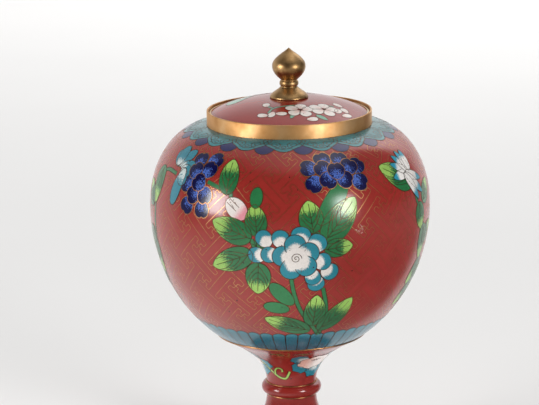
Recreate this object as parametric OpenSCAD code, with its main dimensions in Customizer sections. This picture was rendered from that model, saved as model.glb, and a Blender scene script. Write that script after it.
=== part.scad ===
// Covered jar on a stem, enamelled over copper with brass fittings.
// Origin: centre of the foot where it stands, +Z up, millimetres.

/* [Globe] */
// widest diameter over the enamel
bowl_d = 180; // [150:1:210]
// height of the shoulder's top above the widest place
shoulder_h = 52.6; // [40:0.2:70]
// depth of the lower half if it ran on to a point
lower_h = 100.3; // [80:0.1:130]
// where the stem is brazed on, degrees below the widest place
ring_at = 57.5; // [50:0.5:60]
// copper thickness
metal_t = 1.2; // [0.8:0.1:1.8]
// coloured enamel thickness
enamel_t = 0.9; // [0.5:0.1:1.4]
// counter enamel thickness inside
lining_t = 0.6; // [0.4:0.1:1.0]

/* [Bands] */
// lower edge of the cloud band, percent of the way up the shoulder curve
cloud_at = 70; // [55:1:80]
// upper edge of the petal band, degrees below the widest place
petal_at = 43.5; // [42:0.5:50]
// width of the brass wire rings seen from outside
wire_w = 0.7; // [0.4:0.1:1.2]
// how far a wire ring stands above the enamel
wire_proud = 0.12; // [0.05:0.01:0.3]

/* [Collar] */
// outside diameter of the collar
collar_d = 105.6; // [90:0.2:120]
// collar wall
collar_wall = 1.2; // [0.8:0.1:2.0]
// height of the collar above the shoulder
collar_h = 8.9; // [6:0.1:14]
// how far the collar reaches below the layers it is brazed to
collar_lap = 0.3; // [0.1:0.1:2]
// thickness of the seat ring
seat_t = 1.6; // [1:0.1:3]
// width of the seat ring
seat_w = 6.5; // [5:0.1:9]

/* [Lid] */
// gap round the lid inside the collar
lid_gap = 0.5; // [0.3:0.05:1]
// height of the lid's brass edge
lid_edge_h = 3.4; // [3:0.1:5]
// how far the collar stands above the lid's edge
lid_sunk = 1.4; // [0.6:0.1:3]
// wall of the lid's brass edge
lid_edge_w = 1.1; // [0.8:0.1:1.6]
// rise of the lid's dome
lid_rise = 9.2; // [4:0.2:16]
// radius of the flat middle of the lid
lid_flat_r = 9; // [8:0.2:14]
// wall of the locating ring under the lid
flange_w = 1.1; // [0.8:0.1:2]
// depth of the locating ring below the lid's edge
flange_drop = 6; // [3:0.5:10]
// gap between the locating ring and the seat ring
flange_gap = 0.6; // [0.3:0.05:1.2]

/* [Finial] */
// height of the finial above the lid
finial_h = 32.2; // [24:0.5:44]
// diameter of the bulb
bulb_d = 21.4; // [16:0.2:28]
// diameter of the neck
neck_d = 10.6; // [8:0.2:13]
// diameter of the base
base_d = 23.8; // [20:0.2:30]
// diameter of the threaded stud
stud_d = 4; // [3:1:6]
// gap round the stud in the lid's hole
stud_gap = 0.3; // [0.2:0.05:0.5]
// radial gap of the stud in its nut
thread_gap = 0.06; // [0.03:0.01:0.1]
// how far the stud stands out under the nut
stud_end = 2.5; // [1.5:0.5:5]
// thickness of the washer under the nut
washer_t = 0.8; // [0.5:0.1:1.5]

/* [Stem and foot] */
// diameter of the waist over the enamel
waist_d = 32.4; // [26:0.2:42]
// height of the hollow curve from the globe's underside to the waist
cove_h = 28.9; // [20:0.1:45]
// height of the knop ring
knop_h = 8; // [5:0.5:14]
// how far the knop ring stands out from the waist
knop_out = 3.3; // [2:0.1:8]
// height of the foot under the knop
foot_h = 44; // [34:0.5:60]
// diameter of the foot
foot_d = 102; // [84:1:130]
// height of the brass foot rim
rim_h = 7; // [5:0.5:12]
// width of the brass foot rim where it stands
rim_w = 4.5; // [3.5:0.5:8]

/* [Hidden] */
$fn = 96;

copper_c = "#a8623c";
brass_c = "#c99a4a";
red_c = "#8c2826";
blue_c = "#2f5fa8";
turq_c = "#5fb5b0";
pale_c = "#4a9fb0";
felt_c = "#5a4632";

// --- heights -----------------------------------------------------------
z_knop = foot_h;
z_waist = foot_h + knop_h;
join_at = 64;
z_mid = z_waist + cove_h + lower_h * sin(join_at);
z_shoulder = z_mid + shoulder_h;
z_collar = z_shoulder + collar_h;

// --- the globe's outline ------------------------------------------------
R = bowl_d / 2;
Rc = collar_d / 2;
land = Rc - 3.2;
function bez(a, b, c, e, t) = a * pow(1 - t, 3) + b * 3 * t * pow(1 - t, 2) + c * 3 * t * t * (1 - t) + e * pow(t, 3);
function dbez(a, b, c, e, t) = (b - a) * 3 * pow(1 - t, 2) + (c - b) * 6 * t * (1 - t) + (e - c) * 3 * t * t;
// the side of a running curve on its right hand
function side(v) = [v[1], -v[0]] / norm(v);
u0 = [R, 0];
u1 = [R, shoulder_h * 0.57];
u2 = [land + (R - land) * 0.6, shoulder_h];
u3 = [land, shoulder_h];

// point on the outline, set in by d: s is degrees below the widest place when it is
// negative, and percent of the way up the shoulder curve when it is positive
function low_n(e) = let (a = cos(e) / R, b = -sin(e) / lower_h, l = sqrt(a * a + b * b)) [a / l, b / l];
function low_p(e, d) = [R * cos(e), -lower_h * sin(e)] - d * low_n(e);
function up_p(t, d) = bez(u0, u1, u2, u3, t) - d * side(dbez(u0, u1, u2, u3, t));
function skin(s, d) = (s < 0 ? low_p(-s, d) : up_p(s / 100, d)) + [0, z_mid];
// where the outline set in by d meets the collar
function find_top(d, a, b, n) = let (m = (a + b) / 2)
    n == 0 ? m : up_p(m / 100, d)[0] > Rc ? find_top(d, m, b, n - 1) : find_top(d, a, m, n - 1);
function top_s(d) = find_top(d, 50, 100, 30);
function steps(a, b, n) = [for (i = [0 : n]) a + (b - a) * i / n];
function run(a, b, n, d) = [for (s = steps(a, b, n)) skin(s, d)];
function back(l) = [for (i = [len(l) - 1 : -1 : 0]) l[i]];

wire_low = wire_w / 2 / R * 57.3;
wire_up = wire_w / 2 / norm(dbez(u0, u1, u2, u3, cloud_at / 100)) * 100;
a_petal0 = -ring_at + 2 * wire_low;
a_petal1 = -petal_at - wire_low;
a_ground0 = -petal_at + wire_low;
a_ground1 = cloud_at - wire_up;
a_cloud0 = cloud_at + wire_up;

// each stretch of the outline, the same corners for every layer
function wire0_run(d) = run(-ring_at, a_petal0, 1, d);
function petal_run(d) = run(a_petal0, a_petal1, 4, d);
function wire1_run(d) = run(a_petal1, a_ground0, 1, d);
function ground_run(d) = concat(run(a_ground0, 0, 20, d), run(3, a_ground1, 26, d));
function wire2_run(d) = run(a_ground1, a_cloud0, 1, d);
function cloud_run(d) = run(a_cloud0, top_s(d), 12, d);
function outer_run(d) = concat(wire0_run(d), petal_run(d), wire1_run(d), ground_run(d),
                               wire2_run(d), cloud_run(d));

// --- the bowl's floor -----------------------------------------------------
P = skin(-ring_at, enamel_t);
floor_r = P[0] - 4.2;
floor_dip = 5;
function floor_z(r) = P[1] - floor_dip * (1 - (r / floor_r) * (r / floor_r));
function floor_run(h) = [for (i = [0 : 12]) [floor_r * i / 12, floor_z(floor_r * i / 12) + h]];
in_t = enamel_t + metal_t;
function inner_run(d) = concat(run(-ring_at + 3.5, a_petal1, 4, d), run(a_petal1 + 0.5, 0, 20, d),
                               run(3, top_s(d), 36, d));

// --- the stem's outline -----------------------------------------------------
j0 = low_p(join_at, 0);
jt = let (a = -sin(join_at) * R, b = -cos(join_at) * lower_h, l = sqrt(a * a + b * b)) [a / l, b / l];
s0 = [j0[0], j0[1] + z_mid];
s3 = [waist_d / 2, z_waist];
reach = (s0[1] - s3[1]) * 0.52;
s1 = s0 + jt * reach;
s2 = s3 + [0, reach * 0.8];
function cove(t, d) = bez(s0, s1, s2, s3, t) + d * side(dbez(s0, s1, s2, s3, t));
function stem_run(d) = concat([for (e = steps(ring_at, join_at, 4)) skin(-e, d)],
                              [for (i = [1 : 20]) cove(i / 20, d)]);
// the stem's skirt ends on the level where it meets the bowl
skirt_r = P[0] - 2.3;
function stem_in(d) = concat([for (e = steps(ring_at + 2.6, join_at, 3)) skin(-e, d)],
                             [for (i = [1 : 20]) cove(i / 20, d)]);

// --- the foot's outline -------------------------------------------------------
f0 = [waist_d / 2, z_knop];
f3 = [foot_d / 2 - 2.5, rim_h];
f1 = f0 - [0, (foot_h - rim_h) * 0.44];
f2 = f3 + [-(f3[0] - f0[0]) * 0.55, (foot_h - rim_h) * 0.13];
function bell(t, d) = bez(f0, f1, f2, f3, t) + d * side(dbez(f0, f1, f2, f3, t));
function foot_run(d) = [for (i = [0 : 24]) bell(i / 24, d)];

// --- the lid ------------------------------------------------------------------
lid_r = Rc - collar_wall - lid_gap;
plate_r = lid_r - lid_edge_w;
z_edge = z_collar - lid_sunk;
z_seat = z_edge - lid_edge_h;
seat_r = Rc - collar_wall - seat_w;
flange_r = seat_r - flange_gap;
span = plate_r - lid_flat_r;
Rl = (span * span + lid_rise * lid_rise) / (2 * lid_rise);
lid_in_t = enamel_t + metal_t;
// height of the lid's top at radius r; every layer keeps this curve, set down by its depth
function lid_z(r) = z_edge - 0.1 + lid_rise - (r <= lid_flat_r ? 0 : Rl - sqrt(Rl * Rl - (r - lid_flat_r) * (r - lid_flat_r)));
function lid_radii(r0) = concat([r0], steps(lid_flat_r, flange_r - flange_w, 16), [flange_r],
                                steps(flange_r + 0.4, plate_r, 4));
function lid_run(r0, h) = [for (r = lid_radii(r0)) [r, lid_z(r) - h]];
function lid_inner(r0, h) = [for (r = concat([r0], steps(lid_flat_r, flange_r - flange_w, 16))) [r, lid_z(r) - h]];

// --- the finial and its fixing --------------------------------------------------
z_top = lid_z(0);
hole_r = stud_d / 2 + stud_gap;
z_plate = z_top - enamel_t;
z_under = z_plate - metal_t;
nut_h = stud_d * 0.8;
nut_af = stud_d * 1.75;
z_nut = z_under - washer_t;
z_stud = z_nut - nut_h - stud_end;
function prof(a, b, c, e, n) = [for (i = [1 : n]) bez(a, b, c, e, i / n)];
k = finial_h / 33;
tip = z_top + finial_h;
bulb_r = bulb_d / 2;
neck_r = neck_d / 2;
base_r = base_d / 2;

module ring(pts) rotate_extrude() polygon(pts);

module bowl_shell() color(copper_c)
    ring(concat([[0, floor_z(0)]], [for (i = [1 : 12]) floor_run(0)[i]], outer_run(enamel_t),
                back(inner_run(in_t)), back(floor_run(metal_t))));

module bowl_lining() color(pale_c)
    ring(concat([[0, floor_z(0) + metal_t]], [for (i = [1 : 12]) floor_run(metal_t)[i]], inner_run(in_t),
                back(inner_run(in_t + lining_t)), back(floor_run(metal_t + lining_t))));

module bowl_enamel() color(red_c) ring(concat(ground_run(enamel_t), back(ground_run(0))));
module cloud_band() color(turq_c) ring(concat(cloud_run(enamel_t), back(cloud_run(0))));
module petal_band() color(blue_c) ring(concat(petal_run(enamel_t), back(petal_run(0))));
module petal_wire() color(brass_c) ring(concat(wire0_run(enamel_t), back(wire0_run(-wire_proud * 2))));
module petal_top_wire() color(brass_c) ring(concat(wire1_run(enamel_t), back(wire1_run(-wire_proud))));
module cloud_wire() color(brass_c) ring(concat(wire2_run(enamel_t), back(wire2_run(-wire_proud))));

// a straight band, let in past the shoulder and brazed to the edge of the mouth
module collar_ring() color(brass_c)
    ring([[Rc - collar_wall, z_shoulder - in_t - lining_t - collar_lap], [Rc, z_shoulder - in_t - lining_t - collar_lap],
          [Rc, z_collar - 0.3], [Rc - 0.3, z_collar],
          [Rc - collar_wall + 0.3, z_collar], [Rc - collar_wall, z_collar - 0.3]]);

module seat_ring() color(brass_c)
    ring([[seat_r, z_seat - seat_t], [Rc - collar_wall, z_seat - seat_t],
          [Rc - collar_wall, z_seat], [seat_r, z_seat]]);

module stem_tube() color(copper_c)
    ring(concat([[skirt_r, P[1]]], stem_run(enamel_t), back(stem_in(in_t))));

module stem_enamel() color(red_c) ring(concat(stem_run(enamel_t), back(stem_run(0))));

// the knop: a turned copper ring between the stem and the foot, enamelled on its outside
knop_in = waist_d / 2 + 0.3 - enamel_t;
function bead(d) = [for (a = steps(-75, 75, 14)) [knop_in + enamel_t - d + (knop_out - 0.3) * cos(a),
                                                  z_knop + knop_h / 2 + (knop_h / 2 - 0.4 - d / 2) * sin(a)]];
module knop_ring() color(copper_c)
    ring(concat([[waist_d / 2 - in_t, z_knop], [knop_in, z_knop]], bead(enamel_t),
                [[knop_in, z_waist], [waist_d / 2 - in_t, z_waist]]));

module knop_enamel() color(red_c)
    ring(concat([[knop_in, z_knop], [knop_in + enamel_t, z_knop]], bead(0),
                [[knop_in + enamel_t, z_waist], [knop_in, z_waist]], back(bead(enamel_t))));

module foot_shell() color(copper_c) ring(concat(foot_run(enamel_t), back(foot_run(in_t))));
module foot_enamel() color(red_c) ring(concat(foot_run(0), back(foot_run(enamel_t))));
module foot_lining() color(pale_c) ring(concat(foot_run(in_t), back(foot_run(in_t + lining_t))));

module foot_rim() color(brass_c)
    ring([bell(1, -0.5), [foot_d / 2 - 0.9, rim_h - 0.4], [foot_d / 2, rim_h - 1.9], [foot_d / 2, 0.5],
          [foot_d / 2 - 0.5, 0], [foot_d / 2 - rim_w, 0], [foot_d / 2 - rim_w, bell(1, in_t + lining_t)[1]],
          bell(1, in_t + lining_t)]);

module lid_plate() color(copper_c)
    ring(concat(lid_run(hole_r, enamel_t), back(lid_run(hole_r, lid_in_t))));

module lid_enamel() color(red_c)
    ring(concat(lid_run(lid_flat_r - 0.4, 0), back(lid_run(lid_flat_r - 0.4, enamel_t))));

module lid_lining() color(pale_c)
    ring(concat(lid_inner(lid_flat_r - 2, lid_in_t), back(lid_inner(lid_flat_r - 2, lid_in_t + lining_t))));

module lid_edge() color(brass_c)
    ring([[plate_r, z_seat], [lid_r, z_seat], [lid_r, z_edge - 0.3], [lid_r - 0.3, z_edge],
          [plate_r, z_edge]]);

// a short ring that drops through the seat and keeps the lid central
module lid_flange() color(brass_c)
    ring([[flange_r - flange_w, lid_z(flange_r - flange_w) - lid_in_t],
          [flange_r, lid_z(flange_r) - lid_in_t],
          [flange_r, z_seat - flange_drop + 0.5], [flange_r - 0.5, z_seat - flange_drop],
          [flange_r - flange_w, z_seat - flange_drop]]);

// a felt washer in the well of the enamel
module seat_washer() color(felt_c) translate([0, 0, z_plate]) difference() {
    cylinder(r = lid_flat_r - 1, h = enamel_t);
    translate([0, 0, -1]) cylinder(r = hole_r, h = enamel_t + 2);
}

module finial() color(brass_c)
    ring(concat([[0, z_stud], [stud_d / 2 - 0.4, z_stud], [stud_d / 2, z_stud + 0.4], [stud_d / 2, z_top]],
                [[base_r - 0.5, z_top], [base_r, z_top + 0.5 * k], [base_r, z_top + 1.8 * k]],
                prof([base_r, tip - 31.2 * k], [base_r - 0.6, tip - 28.2 * k], [neck_r + 0.5, tip - 27.4 * k],
                     [neck_r, tip - 25.6 * k], 12),
                [for (a = steps(-80, 80, 12)) [neck_r - 0.2 + 1.0 * cos(a), tip - 23.4 * k + 1.9 * k * sin(a)]],
                [[neck_r, tip - 21 * k]],
                prof([neck_r, tip - 21 * k], [bulb_r * 0.75, tip - 18.6 * k], [bulb_r, tip - 16 * k],
                     [bulb_r, tip - 12 * k], 14),
                prof([bulb_r, tip - 12 * k], [bulb_r, tip - 6.6 * k], [bulb_r * 0.243, tip - 3 * k], [0, tip], 18)));

module nut_washer() color(brass_c) translate([0, 0, z_nut]) difference() {
    cylinder(r = stud_d * 1.35, h = washer_t);
    translate([0, 0, -1]) cylinder(r = hole_r, h = washer_t + 2);
}

module finial_nut() color(brass_c) translate([0, 0, z_nut - nut_h]) difference() {
    cylinder(r = nut_af / 2 / cos(30), h = nut_h, $fn = 6);
    translate([0, 0, -1]) cylinder(r = stud_d / 2 + thread_gap, h = nut_h + 2);
}

bowl_shell();
bowl_lining();
bowl_enamel();
cloud_band();
petal_band();
cloud_wire();
petal_top_wire();
petal_wire();
collar_ring();
seat_ring();
stem_tube();
stem_enamel();
knop_ring();
knop_enamel();
foot_shell();
foot_enamel();
foot_lining();
foot_rim();
lid_plate();
lid_enamel();
lid_lining();
lid_edge();
lid_flange();
seat_washer();
finial();
nut_washer();
finial_nut();
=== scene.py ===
"""A covered jar on a stem: hammered copper, cloisonne enamel and turned brass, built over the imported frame.

Sizes are millimetres until a mesh is made. Azimuth 0 is the jar's front, towards -Y, and grows to the right.
"""
import math

import bmesh
import bpy
from mathutils import Matrix, Vector


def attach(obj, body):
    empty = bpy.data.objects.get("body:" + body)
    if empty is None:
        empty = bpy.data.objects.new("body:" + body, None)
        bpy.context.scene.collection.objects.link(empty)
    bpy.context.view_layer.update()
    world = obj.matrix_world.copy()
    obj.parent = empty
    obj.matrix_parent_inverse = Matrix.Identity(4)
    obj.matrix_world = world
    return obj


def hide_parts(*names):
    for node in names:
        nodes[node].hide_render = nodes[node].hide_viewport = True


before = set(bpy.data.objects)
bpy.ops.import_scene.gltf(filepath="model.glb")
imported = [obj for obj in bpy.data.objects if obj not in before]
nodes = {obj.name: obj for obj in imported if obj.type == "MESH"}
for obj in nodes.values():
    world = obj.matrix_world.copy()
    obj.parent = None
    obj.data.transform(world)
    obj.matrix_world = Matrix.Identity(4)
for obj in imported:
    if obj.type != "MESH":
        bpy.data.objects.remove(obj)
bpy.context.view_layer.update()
MM = 0.001


# ---------------------------------------------------------------------------------------
# Copper walls: the globe, the stem, the foot and the lid's plate are sheet copper 1.2 mm
# thick, hammered up over stakes and brazed together at the ring under the globe.
def linear(colour):
    """An sRGB hex colour as the linear RGBA that a shader takes."""
    parts = [int(colour[i:i + 2], 16) / 255 for i in (1, 3, 5)]
    return [c / 12.92 if c <= 0.04045 else ((c + 0.055) / 1.055) ** 2.4 for c in parts] + [1.0]


def add(tree, kind, fields):
    """One shader node: a value that is a socket is linked, stops fill a ramp, the rest is set."""
    made = tree.nodes.new("ShaderNode" + kind)
    for field, value in fields.items():
        if field == "stops":
            ramp = made.color_ramp.elements
            while len(ramp) < len(value):
                ramp.new(0.5)
            for element, (place, colour) in zip(ramp, value):
                element.position = place
                element.color = linear(colour)
        elif isinstance(value, bpy.types.NodeSocket):
            tree.links.new(value, made.inputs[field])
        elif isinstance(field, str) and field.islower():
            setattr(made, field, value)
        else:
            made.inputs[field].default_value = value
    return made


def new_material(name):
    """An empty material, its tree and its Object coordinates in metres."""
    material = bpy.data.materials.new(name)
    material.use_nodes = True
    tree = material.node_tree
    tree.nodes.clear()
    spot = add(tree, "TexCoord", {}).outputs["Object"]
    return material, tree, spot


# Spun and pickled copper: warm pink metal, dull from the kiln, with brown heat bloom.
copper, tree, spot = new_material("pickled_copper")
bloom = add(tree, "TexNoise", {"Vector": spot, "Scale": 60.0, "Detail": 5.0})
tone = add(tree, "ValToRGB", {"Fac": bloom.outputs["Fac"],
                              "stops": [(0.3, "#7A4630"), (0.55, "#B4704C"), (0.75, "#C98A66")]})
dents = add(tree, "TexVoronoi", {"Vector": spot, "Scale": 160.0})
relief = add(tree, "Bump", {"Height": dents.outputs["Distance"], "Strength": 0.25, "Distance": 0.0004})
skin = add(tree, "BsdfPrincipled", {"Base Color": tone.outputs["Color"], "Metallic": 1.0,
                                    "Roughness": 0.42, "Normal": relief.outputs["Normal"]})
add(tree, "OutputMaterial", {"Surface": skin.outputs[0]})


def coat_node(name, material):
    """A CAD node keeps its mesh and takes this material."""
    mesh = nodes[name].data
    mesh.materials.clear()
    mesh.materials.append(material)


for name in ("bowl_shell", "stem_tube", "foot_shell", "lid_plate"):
    coat_node(name, copper)


# ---------------------------------------------------------------------------------------
# Red ground of the globe: lead glass enamel 0.9 mm thick, packed wet between the wires,
# fired, and stoned back level with them. It runs from the ring to the brass collar.
GLOBE_R = 90.0
BELLY_Z = 171.049           # height of the widest place
LOWER_H = 100.3             # depth of the lower half if it ran on to a point
SHOULDER_H = 52.6
LAND_R = 49.6               # where the shoulder is level, under the collar
RING_AT = 57.5              # degrees below the widest place, where the stem is brazed on
STEM_AT = 64.0              # where the ellipse runs over into the stem's hollow curve
WAIST_R, WAIST_Z = 16.2, 52.0
COLLAR_R = 52.8
ENAMEL_T = 0.9


def bezier(a, b, c, e, t):
    """A point on a cubic curve."""
    s = 1 - t
    return tuple(s ** 3 * p + 3 * s * s * t * q + 3 * s * t * t * u + t ** 3 * w
                 for p, q, u, w in zip(a, b, c, e))


def belly(degrees):
    """A point on the globe's lower half, degrees below its widest place."""
    e = math.radians(degrees)
    return GLOBE_R * math.cos(e), BELLY_Z - LOWER_H * math.sin(e)


def shoulder(t):
    """A point on the globe's upper half, from its widest place to the level land."""
    lean = LAND_R + (GLOBE_R - LAND_R) * 0.6
    r, z = bezier((GLOBE_R, 0), (GLOBE_R, SHOULDER_H * 0.57), (lean, SHOULDER_H), (LAND_R, SHOULDER_H), t)
    return r, z + BELLY_Z


def cove(t):
    """A point on the stem's hollow curve, from the globe down to the waist."""
    start = belly(STEM_AT)
    ahead = belly(STEM_AT + 0.01)
    way = Vector(ahead) - Vector(start)
    way.normalize()
    reach = (start[1] - WAIST_Z) * 0.52
    return bezier(start, (start[0] + way.x * reach, start[1] + way.y * reach),
                  (WAIST_R, WAIST_Z + reach * 0.8), (WAIST_R, WAIST_Z), t)


class Wall:
    """A turned wall, known by its outline from the bottom up. Heights up the wall are measured along it."""

    def __init__(self, outline, zero):
        self.outline = [Vector(p) for p in outline]
        self.up = [0.0]
        for p, q in zip(self.outline, self.outline[1:]):
            self.up.append(self.up[-1] + (q - p).length)
        nearest = min(range(len(outline)), key=lambda i: (self.outline[i] - Vector(zero)).length)
        start = self.up[nearest]
        self.up = [u - start for u in self.up]
        self.aim = []
        for i in range(len(outline)):
            way = self.outline[min(i + 1, len(outline) - 1)] - self.outline[max(i - 1, 0)]
            self.aim.append(Vector((way.y, -way.x)).normalized())

    def at(self, v):
        """Outline point and outward direction v mm up the wall from its zero."""
        v = min(max(v, self.up[0]), self.up[-1])
        low, high = 0, len(self.up) - 1
        while high - low > 1:
            middle = (low + high) // 2
            if self.up[middle] <= v:
                low = middle
            else:
                high = middle
        share = (v - self.up[low]) / (self.up[high] - self.up[low])
        return (self.outline[low].lerp(self.outline[high], share),
                self.aim[low].lerp(self.aim[high], share).normalized())

    def radius(self, v):
        """Radius of the wall v mm up."""
        return max(self.at(v)[0].x, 0.5)

    def height_of(self, z):
        """How far up the wall the height z lies."""
        i = min(range(len(self.outline)), key=lambda k: abs(self.outline[k].y - z))
        return self.up[i]

    def spot(self, azimuth, v, proud):
        """The place and the outward direction at an azimuth in degrees, v mm up, standing proud mm out."""
        p, n = self.at(v)
        a = math.radians(azimuth)
        r = p.x + n.x * proud
        out = Vector((n.x * math.sin(a), -n.x * math.cos(a), n.y))
        return Vector((r * math.sin(a), -r * math.cos(a), p.y + n.y * proud)) * MM, out

    def run(self, low, high, step, depth=0.0):
        """The outline between two heights up the wall, set in by depth."""
        count = max(2, math.ceil((high - low) / step))
        points = [self.at(low + (high - low) * i / count) for i in range(count + 1)]
        return [(p.x - n.x * depth, p.y - n.y * depth) for p, n in points]


stem_curve = [cove(1 - i / 60) for i in range(60)]
lower_curve = [belly(STEM_AT - STEM_AT * i / 160) for i in range(160)]
upper_curve = [shoulder(i / 200) for i in range(201)]
globe = Wall(stem_curve + lower_curve + upper_curve, (GLOBE_R, BELLY_Z))
RING_V = globe.height_of(belly(RING_AT)[1])
COLLAR_V = max(u for u, p in zip(globe.up, globe.outline) if p.x > COLLAR_R)


def spun(outline, turns=360):
    """A mesh spun round the jar's axis from its closed outline, corners as (radius, height)."""
    bm = bmesh.new()
    corners = [bm.verts.new((r * MM, 0, z * MM)) for r, z in outline]
    edges = [bm.edges.new(pair) for pair in zip(corners, corners[1:] + corners[:1])]
    bmesh.ops.spin(bm, geom=corners + edges, cent=(0, 0, 0), axis=(0, 0, 1),
                   angle=2 * math.pi, steps=turns, use_merge=True)
    bmesh.ops.remove_doubles(bm, verts=bm.verts, dist=1e-7)
    return bm


def coat_outline(wall, low, high, step):
    """Outline of a coat of enamel between two heights: its face, then its back."""
    return wall.run(low, high, step) + wall.run(low, high, step, ENAMEL_T)[::-1]


def make_piece(name, bm, material, body, stands_for=None, crease=32):
    """Turns a closed bmesh into a piece at the origin, faces out and smooth but for its creases. It rides on
    its body, takes its slot, and stands for a CAD node where one is named."""
    bmesh.ops.recalc_face_normals(bm, faces=bm.faces)
    for face in bm.faces:
        face.smooth = True
    for edge in bm.edges:
        edge.smooth = len(edge.link_faces) == 2 and edge.calc_face_angle(0) < math.radians(crease)
    mesh = bpy.data.meshes.new(name)
    bm.to_mesh(mesh)
    bm.free()
    mesh.materials.append(material)
    piece = bpy.data.objects.new(name, mesh)
    bpy.context.scene.collection.objects.link(piece)
    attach(piece, body)
    if stands_for:
        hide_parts(stands_for)


def pitted(tree, spot, colour, net_scale, share, largest, dark):
    """Specks in a surface: this share of the cells of a fine net hold a pit, dark at its bottom."""
    net = add(tree, "TexVoronoi", {"Vector": spot, "Scale": net_scale})
    chosen = add(tree, "SeparateXYZ", {"Vector": net.outputs["Color"]})
    size = add(tree, "MapRange", {"Value": chosen.outputs["X"], "From Min": 1 - share, "From Max": 1.0,
                                  "To Min": 0.0, "To Max": largest})
    pit = add(tree, "Math", {"operation": "LESS_THAN", 0: net.outputs["Distance"], 1: size.outputs[0]})
    return add(tree, "Mix", {"data_type": "RGBA", 0: pit.outputs[0], 6: colour, 7: linear(dark)})


def enamel(name, body, tip=None, turn_at=0.5, spread=0.1, ragged=0.2, streaks=0.0, grain=0.25, pits=0.35):
    """Fired lead glass enamel, stoned and polished: body colour at a cell's root and tip colour at its
    point, the two powders meeting at turn_at with a ragged edge. It has a fine grain where the powder
    fused, brown specks where gas broke through, and a soft wax-like gloss."""
    material, tree, spot = new_material(name)
    colour = linear(body)[:3]
    if tip:
        cell = add(tree, "Attribute", {"attribute_name": "cell"})
        parts = add(tree, "SeparateXYZ", {"Vector": cell.outputs["Vector"]})
        # powder edges wander by a few tenths of a millimetre, streaks run along the cell
        crumbs = add(tree, "TexNoise", {"Vector": spot, "Scale": 1400.0, "Detail": 2.0})
        lanes = add(tree, "Math", {"operation": "MULTIPLY", 0: parts.outputs["X"], 1: 7.0})
        lane = add(tree, "TexNoise", {"noise_dimensions": "1D", "W": lanes.outputs[0], "Scale": 2.0})
        wander = add(tree, "Math", {"operation": "MULTIPLY_ADD", 0: crumbs.outputs["Fac"], 1: ragged,
                                    2: parts.outputs["Y"]})
        wander = add(tree, "Math", {"operation": "MULTIPLY_ADD", 0: lane.outputs["Fac"], 1: streaks,
                                    2: wander.outputs[0]})
        share = add(tree, "MapRange", {"interpolation_type": "SMOOTHSTEP", "Value": wander.outputs[0],
                                       "From Min": turn_at - spread + (ragged + streaks) / 2,
                                       "From Max": turn_at + spread + (ragged + streaks) / 2})
        meet = add(tree, "Mix", {"data_type": "RGBA", 0: share.outputs[0], 6: linear(body), 7: linear(tip)})
        colour = meet.outputs[2]
    # grain of the fused powder, about 0.8 mm, and slow unevenness of the firing, about 30 mm
    powder = add(tree, "TexNoise", {"Vector": spot, "Scale": 1200.0, "Detail": 3.0, "Roughness": 0.7})
    firing = add(tree, "TexNoise", {"Vector": spot, "Scale": 32.0, "Detail": 2.0})
    both = add(tree, "Math", {"operation": "ADD", 0: powder.outputs["Fac"], 1: firing.outputs["Fac"]})
    gain = add(tree, "MapRange", {"Value": both.outputs[0], "From Min": 0.7, "From Max": 1.3,
                                  "To Min": 1 - grain, "To Max": 1 + grain})
    toned = add(tree, "VectorMath", {"operation": "SCALE", 0: colour, "Scale": gain.outputs[0]})
    # gas pits up to about 0.5 mm across, in a net of 5 mm cells
    worn = pitted(tree, spot, toned.outputs[0], 210.0, pits, 0.12, "#2A1410")
    wax = add(tree, "MapRange", {"Value": firing.outputs["Fac"], "From Min": 0.3, "From Max": 0.7,
                                 "To Min": 0.15, "To Max": 0.23})
    ripple = add(tree, "Bump", {"Height": firing.outputs["Fac"], "Strength": 0.05, "Distance": 0.001})
    glass = add(tree, "BsdfPrincipled", {"Base Color": worn.outputs[2], "Roughness": wax.outputs[0],
                                         "IOR": 1.52, "Normal": ripple.outputs["Normal"]})
    add(tree, "OutputMaterial", {"Surface": glass.outputs[0]})
    return material


# Selenium red, a little uneven between firings.
red_enamel = enamel("red_ground_enamel", "#912923", grain=0.12)
# two old knocks: pale crazing on the front right, and a chip down to the black copper low on the left
tree = red_enamel.node_tree
glass = next(node for node in tree.nodes if node.type == "BSDF_PRINCIPLED")
spot = add(tree, "TexCoord", {}).outputs["Object"]
crazing = add(tree, "TexNoise", {"Vector": spot, "Scale": 700.0, "Detail": 5.0, "Roughness": 0.8})
colour = glass.inputs["Base Color"].links[0].from_socket
KNOCKS = [(28.0, 1.5, 0.0085, 0.55, "#C7AFA4"), (-66.0, -56.0, 0.0022, 0.1, "#1C1210")]
for azimuth, v, size, least, stain in KNOCKS:
    near = add(tree, "VectorMath", {"operation": "DISTANCE", 0: spot, 1: globe.spot(azimuth, v, 0)[0]})
    fade = add(tree, "MapRange", {"Value": near.outputs["Value"], "From Min": size * 0.3, "From Max": size,
                                  "To Min": least, "To Max": 1.0})
    shown = add(tree, "Math", {"operation": "GREATER_THAN", 0: crazing.outputs["Fac"], 1: fade.outputs[0]})
    struck = add(tree, "Mix", {"data_type": "RGBA", 0: shown.outputs[0], 6: colour, 7: linear(stain)})
    colour = struck.outputs[2]
tree.links.new(colour, glass.inputs["Base Color"])
make_piece("globe_ground", spun(coat_outline(globe, RING_V, COLLAR_V, 1.4)), red_enamel,
           "jar", "bowl_enamel")


# ---------------------------------------------------------------------------------------
# Key fret: a running T fret of flat brass wire, bent with pliers and soldered on edge to
# the copper before the ground is packed. It fills the whole ground and stops at the bands.
FRET_REPEATS = 23           # round the belly
FRET_LINK = GLOBE_R * 2 * math.pi / FRET_REPEATS / math.sqrt(2)
FRET_HOOK = 3.1             # how far a hook runs back
FRET_NEAR, FRET_FAR = 2.6, 5.9     # how far a hook's foot and its back stand off the link
FRET_BEND = 1.0             # round of the pliers
FRET_WIRE = 0.36            # width of the wire seen on edge, drawn a little wide so that it shows
BURIED = 0.35               # how deep wires and inlays are set into the ground


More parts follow.
